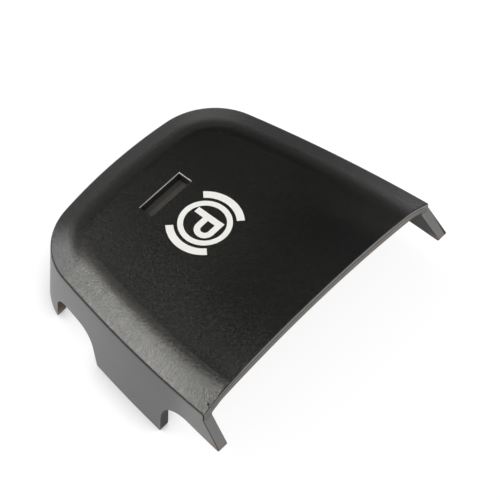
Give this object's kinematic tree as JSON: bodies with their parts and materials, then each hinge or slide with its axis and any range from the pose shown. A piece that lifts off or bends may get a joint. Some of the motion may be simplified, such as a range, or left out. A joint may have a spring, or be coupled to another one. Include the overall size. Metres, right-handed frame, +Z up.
{
  "type": "electric parking brake switch button cap",
  "caption": "Button cap of an electric parking brake switch: crowned matte black shell with a printed function symbol, an indicator window, legs, lugs and latch noses.",
  "frame": {"origin": "on the floor the two side lugs stand on, under the middle of the bounding box", "axes": "+X across the cap, +Y towards the open front end with the two legs, +Z up through the crown"},
  "size_m": [0.0408, 0.0365, 0.0138],
  "materials": {
    "cap_plastic": "fine moulded grain with a soft black coat on the crown, satin on the skirt",
    "lens_plastic": "smoked translucent, satin",
    "symbol_ink": "white pad printed ink"
  },
  "bodies": {
    "root": {"button_cap": "cap_plastic", "indicator_lens": "lens_plastic"}
  },
  "joints": []
}
